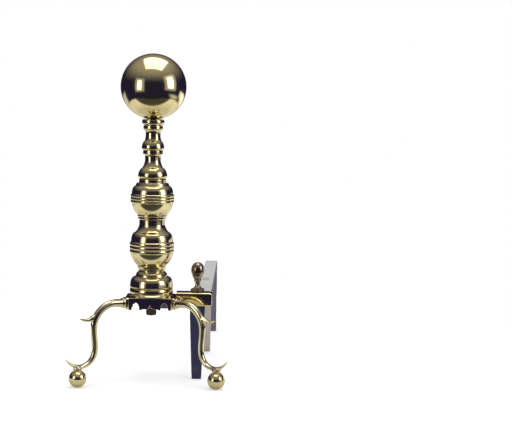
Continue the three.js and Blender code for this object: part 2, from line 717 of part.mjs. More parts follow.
const rod = () => cylinder(ROD_RADIUS, nutBottom - ROD_POINT, ferruleTop + ROD_ABOVE_FERRULE);

function washer() {
  return cylinder(WASHER_RADIUS, washerTop - WASHER_THICKNESS, washerTop)
    .subtract(cylinder(bore, 0, washerTop + 1));
}

// A hexagonal nut, its lower corners turned off.
function nut() {
  const halfFlats = bore + NUT_WALL;
  const corner = halfFlats / Math.cos(Math.PI / 6);
  const hexagon = Array.from({ length: 6 }, (_, i) => {
    const angle = (Math.PI * i) / 3;
    return [corner * Math.cos(angle), corner * Math.sin(angle)];
  });
  const wide = corner / Math.cos(Math.PI / SMALL_SIDES);
  const turnedOff = turned([
    [0, nutBottom], [halfFlats, nutBottom], [wide, nutBottom + NUT_CHAMFER],
    [wide, nutTop + 1], [0, nutTop + 1],
  ], SMALL_SIDES);
  return prism(hexagon, nutBottom, nutTop).intersect(turnedOff)
    .subtract(cylinder(bore, nutBottom - 1, nutTop + 1));
}

// ---------------------------------------------------------------- assembly

const andiron = new THREE.Group();

function place(parent, name, solid, material, x = 0, y = 0, z = 0) {
  const mesh = new THREE.Mesh(geometryOf(solid), material.clone());
  mesh.name = name;
  mesh.position.set(x, y, z);
  parent.add(mesh);
}

for (const { name, bottom, solid } of column) place(andiron, name, solid, POLISHED, 0, 0, bottom);
place(andiron, "ball_top", turned(ballProfile()), POLISHED, 0, 0, ballCentre);
place(andiron, "ball_ferrule", ferrule(), CAST);
place(andiron, "plinth", plinth(), CAST);
place(andiron, "central_rod", rod(), BLACK_IRON);
place(andiron, "rod_washer", washer(), RUSTED);
place(andiron, "rod_nut", nut(), RUSTED);

for (const [side, turn] of [["right", -LEG.splay], ["left", Math.PI + LEG.splay]]) {
  const corner = new THREE.Group();
  corner.rotation.z = turn;
  place(corner, `${side}_leg`, leg(), CAST);
  place(corner, `${side}_foot_ball`, footBall(), POLISHED, LEG_FOOT.reach, 0, 0);
  place(corner, `${side}_leg_bolt`, legBolt(), BLACK_IRON);
  andiron.add(corner);
}

place(andiron, "bar_sheath", sheath(), POLISHED);
place(andiron, "billet_bar", billetBar(), WORN_IRON);
place(andiron, "front_iron_leg", frontLeg(), BLACK_IRON, frontLegX);
place(andiron, "middle_iron_leg", middleLeg(), WORN_IRON, middleLegX, MIDDLE_LEG.y);
place(andiron, "log_stop_finial", finial(), POLISHED, frontLegX, 0, sheathTop + CLEARANCE);

// The origin is on the floor, under the middle of the whole andiron.
andiron.updateMatrixWorld(true);
const extent = new THREE.Box3().setFromObject(andiron, true);
const middle = extent.getCenter(new THREE.Vector3());
andiron.position.set(-middle.x, -middle.y, -extent.min.z);

export default andiron;
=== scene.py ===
# %% [markdown]
# # A brass ball-top andiron
# An andiron lifts burning logs off the hearth. A column of turned brass castings stands on a small
# plinth with two spurred legs. An iron bar leaves the plinth sideways through a brass sheath,
# turns back towards the fire and stands on three iron legs.
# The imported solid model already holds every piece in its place, so it is loaded first and serves
# as the frame. Each piece is then made again, finer, in the same place and in metres.

# %% Load the frame
import json
import math
import bpy
from mathutils import Matrix, Vector

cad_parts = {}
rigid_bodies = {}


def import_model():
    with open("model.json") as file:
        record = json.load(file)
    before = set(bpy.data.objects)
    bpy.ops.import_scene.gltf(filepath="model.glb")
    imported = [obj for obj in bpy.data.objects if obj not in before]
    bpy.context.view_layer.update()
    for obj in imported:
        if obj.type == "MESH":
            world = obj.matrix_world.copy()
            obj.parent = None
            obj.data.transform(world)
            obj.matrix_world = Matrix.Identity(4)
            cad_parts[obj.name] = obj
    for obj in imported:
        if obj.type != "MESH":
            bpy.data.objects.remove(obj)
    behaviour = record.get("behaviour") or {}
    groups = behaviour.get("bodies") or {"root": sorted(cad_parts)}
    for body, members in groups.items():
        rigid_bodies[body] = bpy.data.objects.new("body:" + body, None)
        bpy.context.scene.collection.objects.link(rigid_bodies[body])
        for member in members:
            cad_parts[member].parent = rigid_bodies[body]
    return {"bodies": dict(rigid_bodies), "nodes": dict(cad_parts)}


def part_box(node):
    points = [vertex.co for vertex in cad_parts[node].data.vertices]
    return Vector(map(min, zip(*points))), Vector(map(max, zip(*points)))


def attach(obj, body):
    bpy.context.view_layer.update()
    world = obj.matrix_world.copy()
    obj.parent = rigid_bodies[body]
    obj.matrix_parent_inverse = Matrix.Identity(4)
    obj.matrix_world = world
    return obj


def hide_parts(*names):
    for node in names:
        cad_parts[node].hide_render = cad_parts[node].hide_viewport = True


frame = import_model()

print(len(frame["nodes"]), "solids in the frame")

# %% [markdown]
# Blender may start with a cube, a lamp and a camera of its own. Only the frame is kept, and its
# size is noted for later. The Standard view transform shows a colour as it is written, which suits
# a plain product picture.

# %% Empty the scene
kept = set(frame["nodes"].values()) | set(frame["bodies"].values())
for thing in list(bpy.data.objects):
    if thing not in kept:
        bpy.data.objects.remove(thing)
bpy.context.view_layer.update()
bpy.context.scene.view_settings.view_transform = "Standard"

# %% [markdown]
# A few places are read from the frame, so that nothing has to be fitted by hand: the axis of the
# column, the middle of the ball and the top of each seat. Outlines are written in millimetres, as
# a turner's drawing would be.

# %% Places
MM = 0.001


def middle(node):
    low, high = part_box(node)
    return (low + high) / 2


AXIS = middle("base_band").xy
BALL_RADIUS = 45.7
BALL = Vector((*AXIS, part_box("ball_top")[1].z - BALL_RADIUS * MM))
print("column axis", tuple(AXIS), "ball middle", tuple(BALL))

# %% [markdown]
# The camera stands low in front and a little to the right, as the photographer did, with a
# longish lens. Its turn is built from three plain rotations: tip it up from looking down, turn it
# about the vertical, and roll it a touch.

# %% Camera
CAMERA_PLACE = (0.1280, -1.8628, 0.3762)
CAMERA_TURN = -0.0103
CAMERA_TIP = math.pi / 2 - 0.083
CAMERA_ROLL = 0.0180
CAMERA_LENS = 85.75
camera = bpy.data.objects.new("camera", bpy.data.cameras.new("camera"))
camera.data.sensor_fit = "HORIZONTAL"
camera.data.sensor_width = 36
camera.data.lens = CAMERA_LENS
camera.matrix_world = (
    Matrix.Translation(CAMERA_PLACE)
    @ Matrix.Rotation(CAMERA_TURN, 4, "Z")
    @ Matrix.Rotation(CAMERA_TIP, 4, "X")
    @ Matrix.Rotation(CAMERA_ROLL, 4, "Z")
)
bpy.context.scene.collection.objects.link(camera)
bpy.context.scene.camera = camera
print("camera is", round((camera.location - BALL).length, 3), "m from the ball")

# %% [markdown]
# Shaders are wired in plain Python. A Wire is the output of a node, and sums on wires add Math
# nodes. A Shader is a node tree with one method that adds any node: its type, its settings, which
# are set first, and the values or wires of its sockets.


# %% Wires and shaders
class Wire:
    def __init__(self, tree, socket):
        self.tree = tree
        self.socket = socket

    def __add__(self, other):
        return self.tree.math("ADD", self, other)

    __radd__ = __add__

    def __sub__(self, other):
        return self.tree.math("SUBTRACT", self, other)

    def __rsub__(self, other):
        return self.tree.math("SUBTRACT", other, self)

    def __mul__(self, other):
        return self.tree.math("MULTIPLY", self, other)

    __rmul__ = __mul__

    def __pow__(self, other):
        return self.tree.math("POWER", self, other)


class Shader:
    def __init__(self, owner, output):
        owner.use_nodes = True
        self.nodes = owner.node_tree.nodes
        self.links = owner.node_tree.links
        self.nodes.clear()
        self.output = self.nodes.new(output)

    def add(self, kind, settings=None, inputs=None, output=0):
        node = self.nodes.new(kind)
        for key, value in (settings or {}).items():
            setattr(node, key, value)
        for key, value in (inputs or {}).items():
            if isinstance(value, Wire):
                self.links.new(value.socket, node.inputs[key])
            else:
                node.inputs[key].default_value = value
        return Wire(self, node.outputs[output])

    def math(self, operation, *values):
        return self.add("ShaderNodeMath", {"operation": operation}, dict(enumerate(values)))

    def between(self, value, low, high):
        """0 below low and 1 above high, or the other way round if low is the larger."""
        return self.add(
            "ShaderNodeMapRange",
            {"interpolation_type": "SMOOTHSTEP"},
            {0: value, 1: low, 2: high},
        )

    def mix(self, share, first, second):
        """One colour going over into another, by the node's colour sockets."""
        inputs = {0: share, 6: first, 7: second}
        return self.add("ShaderNodeMix", {"data_type": "RGBA"}, inputs, output=2)

    def noise(self, vector, scale, detail):
        inputs = {"Vector": vector, "Scale": scale, "Detail": detail}
        return self.add("ShaderNodeTexNoise", inputs=inputs)

    def axes(self, output="Object"):
        """The three coordinates, as wires."""
        place = self.add("ShaderNodeTexCoord", output=output)
        return [self.add("ShaderNodeSeparateXYZ", inputs={0: place}, output=i) for i in range(3)]

    def finish(self, shader):
        self.links.new(shader.socket, self.output.inputs["Surface"])

    def surface(self, colour, metallic, roughness, relief):
        """The finished surface. Its relief is a height in millimetres, shown as a bump."""
        bump = self.add("ShaderNodeBump", inputs={"Distance": MM, "Height": relief})
        self.finish(self.add("ShaderNodeBsdfPrincipled", inputs={
            "Base Color": colour, "Metallic": metallic, "Roughness": roughness, "Normal": bump,
        }))


def grey(level):
    return (level, level, level, 1)


print("shader helpers ready")

# %% [markdown]
# Polished brass has hardly a colour of its own: it shows the room. So the room matters as much as
# the metal. The camera sees plain white all round. What the metal sees is a photographer's studio:
# a dim ceiling, a dark room, and a white table top that runs on past the floor, on the right and
# behind. All of this is the world's colour by direction, chosen with the Light Path node. A
# direction is given by how far it points up, east and north, each from -1 to 1.

# %% The room
TABLE = grey(0.70)
CEILING = (0.36, 0.35, 0.36, 1)
ROOM = (0.013, 0.011, 0.050, 1)
SKY_LIGHT = grey(0.53)
world = bpy.data.worlds.new("studio")
bpy.context.scene.world = world
room = Shader(world, "ShaderNodeOutputWorld")
east, north, up = room.axes("Generated")
on_right = room.between(up, -0.32, -0.44) * room.between(east, 0.78, 0.93)
behind = room.between(up, -0.10, -0.22) * room.between(north, 0.35, 0.70)
table = room.math("MAXIMUM", on_right, behind)
seen = room.mix(room.between(up, 0.18, 0.95), ROOM, CEILING)
seen = room.mix(table, seen, TABLE)
is_camera = room.add("ShaderNodeLightPath", output="Is Camera Ray")
is_glossy = room.add("ShaderNodeLightPath", output="Is Glossy Ray")
is_through = room.add("ShaderNodeLightPath", output="Is Transmission Ray")
seen = room.mix(is_glossy, SKY_LIGHT, seen)
seen = room.mix(room.math("MAXIMUM", is_camera, is_through), seen, grey(1))
room.finish(room.add("ShaderNodeBackground", inputs={"Color": seen}))
print("room lit")

# %% [markdown]
# Three softboxes give the bright panes that polished metal needs: one overhead and one at each
# side of the camera. A long low card behind on the right brightens that rim of the brass. Each is
# an area lamp, whose power follows from how bright its face should look. A wider and much dimmer
# lamp behind a pane gives it the soft glow of real cloth.


# %% Softboxes
def softbox(name, turn, rise, distance, width, height, brightness):
    """A lamp seen from the ball: its turn from the front and its rise are in degrees."""
    lamp = bpy.data.lights.new(name, "AREA")
    lamp.shape = "RECTANGLE"
    lamp.size = width
    lamp.size_y = height
    lamp.energy = math.pi * width * height * brightness
    turn = math.radians(turn)
    rise = math.radians(rise)
    away = Vector(
        (math.sin(turn) * math.cos(rise), -math.cos(turn) * math.cos(rise), math.sin(rise))
    )
    holder = bpy.data.objects.new(name, lamp)
    holder.location = BALL + away * distance
    holder.rotation_euler = away.to_track_quat("Z", "Y").to_euler()
    holder.visible_camera = False
    bpy.context.scene.collection.objects.link(holder)
    print(name, "at", tuple(round(x, 2) for x in holder.location), "m")


LAMPS = {  # turn, rise, distance, width, height, brightness
    "overhead_softbox": (90, 87, 1.0, 1.05, 0.95, 2.2),
    "left_softbox": (-46, 3, 1.5, 0.36, 0.75, 3.0),
    "left_glow": (-46, 3, 1.55, 0.95, 1.15, 0.35),
    "right_softbox": (66, 11.5, 1.3, 0.50, 0.75, 3.0),
    "right_glow": (66, 11.5, 1.35, 1.15, 1.15, 0.35),
    "low_card": (134, -15, 1.15, 1.0, 0.26, 0.7),
}
for name, lamp_settings in LAMPS.items():
    softbox(name, *lamp_settings)

# %% [markdown]
# The floor is a pale disc. The camera sees it nearly white, and still sees the shadow on it. In
# the metal it is plain paper that ends a hand's breadth in front of the feet, where the dark side
# of the room begins, but for a trace that fades out farther on. In the metal the paper also glows
# a little, and less near the andiron, which is a painted shade round its base.

# %% Floor
FLOOR_RADIUS = 0.65
FLOOR_HEIGHT = -0.0002
PAPER_END = (-0.345, -0.285)
TRACE_END = (-0.64, -0.54)
bpy.ops.object.select_all(action="DESELECT")
bpy.ops.mesh.primitive_circle_add(
    vertices=96, radius=FLOOR_RADIUS, fill_type="NGON", location=(0, 0, FLOOR_HEIGHT)
)
floor = bpy.context.object
floor.name = "floor"
paper = bpy.data.materials.new("pale floor")
sheet = Shader(paper, "ShaderNodeOutputMaterial")
across, along, _ = sheet.axes()
from_middle = (across * across + along * along) ** 0.5
glow = sheet.between(from_middle, 0.25, 0.62) * 0.5 + 0.38
seen_by_camera = sheet.add("ShaderNodeLightPath", output="Is Camera Ray")
seen_in_metal = sheet.add("ShaderNodeLightPath", output="Is Glossy Ray")
pale = sheet.add("ShaderNodeBsdfDiffuse", inputs={"Color": grey(0.8)})
white = sheet.add("ShaderNodeEmission", inputs={"Color": grey(1), "Strength": glow})
bright = sheet.add("ShaderNodeAddShader", inputs={0: pale, 1: white})
lit = sheet.add("ShaderNodeMixShader", inputs={0: seen_by_camera, 1: pale, 2: bright})
falling = sheet.between(along, *PAPER_END) * 0.94 + sheet.between(along, *TRACE_END) * 0.06
dark = sheet.add("ShaderNodeBsdfDiffuse", inputs={"Color": grey(0.01)})
greyish = sheet.add("ShaderNodeBsdfDiffuse", inputs={"Color": grey(0.62)})
# Seen in the metal, the paper's glow grows away from the andiron: a painted shade near its base.
glow_beyond_painted_shade = sheet.between(from_middle, 0.20, 0.45) * 0.26 + 0.04
glow_with_painted_shade = sheet.add("ShaderNodeEmission", inputs={"Color": grey(1), "Strength": glow_beyond_painted_shade})
paper_in_metal = sheet.add("ShaderNodeAddShader", inputs={0: greyish, 1: glow_with_painted_shade})
mirrored = sheet.add("ShaderNodeMixShader", inputs={0: falling, 1: dark, 2: paper_in_metal})
sheet.finish(sheet.add("ShaderNodeMixShader", inputs={0: seen_in_metal, 1: lit, 2: mirrored}))
floor.data.materials.append(paper)
print("floor", 2 * FLOOR_RADIUS, "m across")

# %% [markdown]
# ## Brass
# Turned brass is polished in the lathe, so very fine rings run round it, crossed by wiping
# scratches. The casting underneath is never quite true, which makes reflections wander a little.
# Polish wears the high places pale and leaves a brown film in the grooves. Rings depend only on
# height, so one-dimensional noise makes them, whatever the radius of the piece.


# %% Brass finish
SMOKE_FILM = (0.40, 0.32, 0.24, 1)
SPECK = (0.30, 0.19, 0.08, 1)
GRIME = (0.16, 0.10, 0.04, 1)


def brass(name, pale, deep, rings, wander, haze, film):
    """Rings and wander are heights in millimetres. Haze is roughness, film is tarnish."""
    material = bpy.data.materials.new(name)
    skin = Shader(material, "ShaderNodeOutputMaterial")
    place = skin.add("ShaderNodeTexCoord", output="Object")
    height = skin.axes()[2]

    def line_noise(scale):
        inputs = {"W": height, "Scale": scale, "Detail": 3.0}
        return skin.add("ShaderNodeTexNoise", {"noise_dimensions": "1D"}, inputs)

    turning = line_noise(900.0) * 0.6 + line_noise(3600.0) * 0.4
    leaning = skin.add(
        "ShaderNodeMapping",
        inputs={"Vector": place, "Rotation": (0.5, 0.3, 0.9), "Scale": (14, 1, 1)},
    )
    scratches = skin.between(skin.noise(leaning, 420.0, 4.0), 0.60, 0.72)
    blotches = skin.noise(place, 38.0, 5.0)
    specks = skin.between(skin.noise(place, 900.0, 2.0), 0.70, 0.78)
    hollows = skin.add("ShaderNodeNewGeometry", output="Pointiness")
    grime = skin.between(hollows, 0.49, 0.42)
    smoke = skin.between(skin.noise(place, 24.0, 6.0), 0.48, 0.70)
    pale_to_deep = skin.between(blotches, 0.35, 0.70)
    colour = skin.mix(pale_to_deep, (*pale, 1), (*deep, 1))
    colour = skin.mix(smoke * film * 0.55, colour, SMOKE_FILM)
    colour = skin.mix(specks * film, colour, SPECK)
    colour = skin.mix(grime * 0.75, colour, GRIME)
    roughness = haze + blotches * 0.03 + smoke * 0.04 + scratches * 0.06 + grime * 0.25
    relief = turning * rings + skin.noise(place, 70.0, 1.0) * wander - scratches * 0.0025
    skin.surface(colour, 1.0, roughness, relief)
    return material


PALE = (0.89, 0.775, 0.42)
DEEP = (0.81, 0.665, 0.31)
POLISHED = brass("polished brass", PALE, DEEP, rings=0.006, wander=0.05, haze=0.10, film=0.5)
CAST = brass(
    "cast brass", (0.90, 0.80, 0.49), (0.82, 0.69, 0.38),
    rings=0.001, wander=0.05, haze=0.08, film=0.6,
)
SMOKED = brass(
    "smoked brass", (0.50, 0.41, 0.29), (0.25, 0.19, 0.13),
    rings=0.004, wander=0.05, haze=0.2, film=1,
)
print("brass mixed:", POLISHED.name, "and", CAST.name, "and", SMOKED.name)

# %% [markdown]
# ## Iron
# Forged iron keeps a dark skin of scale. Where logs and hands rub it, the scale goes and bare grey
# metal shows, most of all on faces that look up. Their paler colour is also painted top light,
# standing in for the light that falls on them from above. Rust lies in blotches over both. One
# recipe makes every iron piece, with more or less wear and rust.


# %% Iron finish
def iron(name, scale, bare, rust, worn, rusted):
    """Scale, bare and rust are colours. Worn and rusted are shares from 0 to 1."""
    material = bpy.data.materials.new(name)
    skin = Shader(material, "ShaderNodeOutputMaterial")
    place = skin.add("ShaderNodeTexCoord", output="Object")
    facing = skin.add("ShaderNodeNewGeometry", output="Normal")
    upward = skin.add("ShaderNodeSeparateXYZ", inputs={0: facing}, output=2)
    patches = skin.noise(place, 55.0, 6.0)
    grain = skin.noise(place, 600.0, 4.0)
    hammered = skin.noise(place, 140.0, 2.0)
    lengthways = skin.add("ShaderNodeMapping", inputs={"Vector": place, "Scale": (30, 1, 6)})
    rubbing = skin.noise(lengthways, 60.0, 5.0)
    edges = skin.between(skin.add("ShaderNodeNewGeometry", output="Pointiness"), 0.515, 0.56)
    # Faces that look up get more bare metal: partly wear, partly a painted top light from above.
    top = skin.between(upward, 0.35, 0.9)
    wear_and_top_light = patches * 0.9 + rubbing * 0.4 + top + edges * 0.4 + (worn - 1.15)
    wear_and_top_light = skin.between(wear_and_top_light, 0.15, 0.85)
    blotches = skin.noise(place, 34.0, 8.0) + grain * 0.25
    rust_mask = skin.between(blotches, 0.78 - 0.35 * rusted, 0.95 - 0.3 * rusted)
    colour = skin.mix(wear_and_top_light, scale, bare)
    colour = skin.mix(grain * 0.5, colour, tuple(0.45 * c for c in scale[:3]) + (1,))
    colour = skin.mix(rust_mask * (0.35 + 0.6 * rusted), colour, rust)
    roughness = 0.62 - wear_and_top_light * 0.2 + grain * 0.12 + rust_mask * 0.2
    metal = 0.08 + edges * 0.3 - rust_mask * 0.08
    relief = hammered * 0.10 + grain * 0.04 + rust_mask * 0.05 + rubbing * 0.01
    skin.surface(colour, metal, roughness, relief)
    return material


RUST = (0.16, 0.085, 0.06, 1)
DARK_RUST = (0.09, 0.05, 0.042, 1)
BLACK_IRON = iron(
    "black iron", (0.028, 0.028, 0.088, 1), (0.08, 0.09, 0.18, 1), RUST, worn=0.1, rusted=0.0
)
BAR_IRON = iron(
    "worn iron", (0.17, 0.16, 0.21, 1), (0.93, 0.93, 0.91, 1), RUST, worn=0.52, rusted=0.1
)
LEG_IRON = iron(
    "grey iron", (0.64, 0.57, 0.53, 1), (0.60, 0.53, 0.49, 1), RUST, worn=0.55, rusted=0.3
)
RUSTED_IRON = iron(
    "rusted iron", (0.06, 0.045, 0.05, 1), (0.24, 0.19, 0.19, 1), DARK_RUST, worn=0.35, rusted=0.7
)
print("iron mixed: black, worn, grey and rusted")

# %% [markdown]
# ## Helpers for modelling
# Operators act on whatever is selected, so everything is deselected before each step. Every
# finished piece replaces its solid, takes a finish and rides on the one body of the model. Narrow
# rounded edges would bend the shading of the wide faces beside them, so crisp pieces get a
# Weighted Normal modifier. The count of open edges tells whether a mesh is closed.


# %% Modelling helpers
def only(*pieces):
    """Selects these pieces alone and makes the first one active."""
    bpy.ops.object.select_all(action="DESELECT")
    for piece in pieces:
        piece.select_set(True)
    bpy.context.view_layer.objects.active = pieces[0]


def settle(piece):
    """Puts a piece's place into its mesh, so that its object sits at the origin."""
    only(piece)
    bpy.ops.object.transform_apply(location=True, rotation=True, scale=True)


def apply_modifier(piece, kind, **settings):
    modifier = piece.modifiers.new(kind.lower(), kind)
    for key, value in settings.items():
        setattr(modifier, key, value)
    only(piece)
    bpy.ops.object.modifier_apply(modifier=modifier.name)


def complete(piece, finish, nodes, angle, crisp=False):
    """Edges that turn by more than the angle, in degrees, stay sharp in the shading."""
    settle(piece)
    bpy.ops.object.shade_smooth_by_angle(angle=math.radians(angle))
    if crisp:
        apply_modifier(piece, "WEIGHTED_NORMAL", keep_sharp=True, weight=60)
    piece.data.materials.clear()
    piece.data.materials.append(finish)
    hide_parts(*nodes)
    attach(piece, "root")
    uses = {}
    for face in piece.data.polygons:
        for edge in face.edge_keys:
            uses[edge] = uses.get(edge, 0) + 1
    loose = sum(count != 2 for count in uses.values())
    triangles = sum(len(face.vertices) - 2 for face in piece.data.polygons)
    print(piece.name, triangles, "triangles,", loose, "open edges")


# %% [markdown]
# ## The turned column
# On the lathe, a casting's outline is cut once and the spindle does the rest. Here a single point
# is drawn out along the outline and spun round the axis, which does the same. A curve of the
# outline bends towards a third point, and corners are eased a little, since no polished edge is
# knife sharp.


# %% Outlines
SHARP_TURN = math.radians(28)


def bow(start, towards, end, steps=10):
    """Points on a curve from one point to another that bends towards a third."""
    a, b, c = Vector(start), Vector(towards), Vector(end)
    shares = [i / steps for i in range(steps + 1)]
    return [a.lerp(b, t).lerp(b.lerp(c, t), t) for t in shares]


def reeds(count, groove, crest, bottom, top, steps=10):
    """Half-round ribs side by side, with sharp grooves between them."""
    pitch = (top - bottom) / count
    points = [(groove, bottom)]
    for rib in range(count):
        for i in range(1, steps + 1):
            turn = math.pi * i / steps
            radius = groove + (crest - groove) * math.sin(turn)
            points.append((radius, bottom + pitch * (rib + (1 - math.cos(turn)) / 2)))
    return points


def eased(outline, ease=0.4):
    """The outline with its sharp corners rounded over a short length."""
    points = [Vector(p) for p in outline]
    made = [points[0]]
    for before, corner, after in zip(points, points[1:], points[2:]):
        back, on = before - corner, after - corner
        if back.length < 1e-6 or on.length < 1e-6:
            continue
        if math.pi - back.angle(on) < SHARP_TURN:
            made.append(corner)
            continue
        start = corner + back.normalized() * min(ease, 0.4 * back.length)
        end = corner + on.normalized() * min(ease, 0.4 * on.length)
        made.extend(bow(start, corner, end, 3))
    return [*made, points[-1]]


print("a bow from", tuple(bow((0, 0), (1, 0), (1, 1))[0]), "to (1, 1)")


# %% Lathe
FACES_ROUND = 112


def lathe(name, outline, axis, bottom, steps=FACES_ROUND):
    """Spins an outline of (radius, height) points in millimetres round a vertical axis."""
    points = [Vector((axis[0] + r * MM, axis[1], bottom + z * MM)) for r, z in outline]
    bpy.ops.object.select_all(action="DESELECT")
    bpy.ops.mesh.primitive_plane_add(size=MM, location=points[0])
    piece = bpy.context.object
    piece.name = name
    bpy.ops.object.mode_set(mode="EDIT")
    bpy.ops.mesh.select_all(action="SELECT")
    bpy.ops.mesh.merge(type="CENTER")
    for last, point in zip(points, points[1:]):
        bpy.ops.mesh.extrude_region_move(TRANSFORM_OT_translate={"value": point - last})
    bpy.ops.mesh.select_all(action="SELECT")
    centre = (axis[0], axis[1], bottom)
    bpy.ops.mesh.spin(steps=steps, angle=2 * math.pi, center=centre, axis=(0, 0, 1))
    bpy.ops.mesh.select_all(action="SELECT")
    bpy.ops.mesh.remove_doubles(threshold=1e-6)
    bpy.ops.mesh.normals_make_consistent(inside=False)
    bpy.ops.object.mode_set(mode="OBJECT")
    settle(piece)
    return piece


print("lathe ready, rings of", FACES_ROUND, "faces")

# %% [markdown]
# The column is seven castings on one iron rod, each with a bore for it. Two of them are the
# big balls with three reeds round the middle. The heights of the castings come from the frame.

# %% Column castings
BORE = 4.3
CASTINGS = {
    "base_band": [
        (31.6, 0), (31.6, 2.1), (29.5, 2.9),
        *bow((29.5, 2.9), (31.2, 7), (29.5, 11)), (28.6, 11.8),
    ],
    "base_dome": [
        *bow((29.2, 0), (30.6, 0.4), (30, 3), 5), *bow((30, 3), (29.6, 12.6), (25.2, 14.6), 14),
        (22.4, 15.2), *bow((22.4, 15.2), (22, 20.4), (18.4, 22.4), 12), (18, 23), (18, 24.4),
    ],
    "lower_ring_ball": [
        (18.2, 0), (18.2, 1.2), (19.2, 1.8), (19.7, 5.4), (19.3, 6),
        *bow((20.6, 6.6), (27.8, 13.2), (29.6, 23.6), 14), *reeds(3, 29.7, 30.9, 24, 39.4),
        *bow((29.3, 40), (28.9, 49.6), (25.4, 52.2), 12), (24.4, 52.6),
        *bow((24.4, 52.6), (19.4, 56), (17.9, 64.4), 12), (17.9, 71.3), (19.6, 72.1),
        (19.6, 75.2), (20.8, 76), (20.8, 77.7),
    ],
    "upper_ring_ball": [
        *bow((20.9, 0), (26.4, 5.6), (29, 16), 14), *reeds(3, 29.2, 30.4, 16.4, 28.6),
        *bow((29, 29.2), (28.9, 36.2), (25.4, 39.6), 12),
        (23.8, 40.2), (22.4, 44), (18.9, 44.6), (18.9, 49), (18.3, 50),
    ],
    "second_baluster": [
        *bow((18.2, 0), (20.9, 2.2), (20.3, 5), 8), *bow((20.3, 5), (19.6, 10.5), (16.4, 14), 12),
        (15.1, 14.4), *bow((15.1, 14.4), (11.8, 19.4), (10.9, 25.4), 12), (10.9, 29.6),
        *bow((10.9, 29.6), (11, 32.6), (12.3, 33.8), 6), (13.7, 34.4), (13.7, 39.2), (13.1, 39.7),
    ],
    "neck_baluster": [
        *bow((14.1, 0), (15.9, 1.2), (15.7, 3.6), 8), *bow((15.7, 3.6), (15.2, 8.6), (12.9, 11.8)),
        (11.9, 12.2), *bow((11.9, 12.2), (10.5, 16.4), (10.3, 20)), (10.3, 22.6),
        *bow((10.3, 22.6), (10.4, 26), (12.9, 28.5)),
    ],
    "ball_collar": [
        (12.9, 0), (13.5, 0.7), (13.5, 4.6), (12.3, 5.4), (12.3, 6.2),
        *bow((13.2, 6.4), (15.7, 7.2), (15.6, 10.4)),
        *bow((15.6, 10.4), (15.7, 13.6), (12.6, 14.2)),
    ],
}
for node, outline in CASTINGS.items():
    top = outline[-1][1]
    ring = [(BORE, 0), *outline, (BORE, top), (BORE, 0)]
    casting = lathe(f"{node}_brass", eased(ring), AXIS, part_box(node)[0].z)
    complete(casting, POLISHED, [node], angle=40, crisp=True)

# %% [markdown]
# The ball is a thin shell. Half a circle is spun, and a Solidify modifier gives it its wall. The
# opening below is where the ferrule passes, hidden by the collar.

# %% Ball
BALL_WALL = 2.2
BALL_OPENING = 8.9
first = -math.acos(BALL_OPENING / BALL_RADIUS)
arc = [first + (math.pi / 2 - first) * i / 64 for i in range(64)]
half_round = [(BALL_RADIUS * math.cos(a), BALL_RADIUS * math.sin(a)) for a in arc]
ball = lathe("ball_brass", [*half_round, (0, BALL_RADIUS)], AXIS, BALL.z, steps=128)
apply_modifier(ball, "SOLIDIFY", thickness=BALL_WALL * MM, offset=-1)
complete(ball, POLISHED, ["ball_top"], angle=40)

# %% [markdown]
# The log stop in front of the bar is turned too: a foot, a slim stem with a ring, and an acorn
# whose cap overhangs its cup.

# %% Log stop
finial_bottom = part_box("log_stop_finial")[0].z
ACORN = [
    (3.3, 0), (6.6, 0), (6.6, 0.8), (9.6, 1.4), (9.8, 3.4),
    *bow((8.6, 4.2), (4.4, 5.4), (3.5, 9.2)), (3.3, 13.6), (4.6, 14.6), (5.3, 16), (5.2, 17.2),
    *bow((4.4, 17.9), (7.6, 20), (8.2, 26)), (9, 26.5),
    *bow((9.3, 29.4), (9.3, 38.6), (3.4, 41.2), 14), (0, 41.9), (0, 5.5), (3.3, 5.5), (3.3, 0),
]
finial = lathe(
    "log_stop_brass", eased(ACORN, 0.3), middle("log_stop_finial").xy, finial_bottom, steps=72
)
complete(finial, SMOKED, ["log_stop_finial"], angle=40)

# %% [markdown]
# ## Legs and feet
# A cabriole leg springs from the plinth, arches over, comes down in a long curve and turns out
# into a pointed spur above its foot ball. A second spur leaves at the knee. It is lofted: a
# rounded rectangle is drawn out along a smooth curve, turned and resized at each step. The leg
# is made along the X axis first, and turned to its place at the end.


# %% Loft
def along_curve(values, share, tension=0.5):
    """A value on the smooth curve through a list of vectors, 0 at the first and 1 at the last."""
    spans = len(values) - 1
    span = min(int(share * spans), spans - 1)
    w = share * spans - span
    wider = [2 * values[0] - values[1], *values, 2 * values[-1] - values[-2]]
    a, b, c, d = wider[span:span + 4]
    leave = tension * (c - a)
    arrive = tension * (d - b)
    bent = (3 * (c - b) - 2 * leave - arrive) * w ** 2 + (2 * (b - c) + leave + arrive) * w ** 3
    return b + leave * w + bent


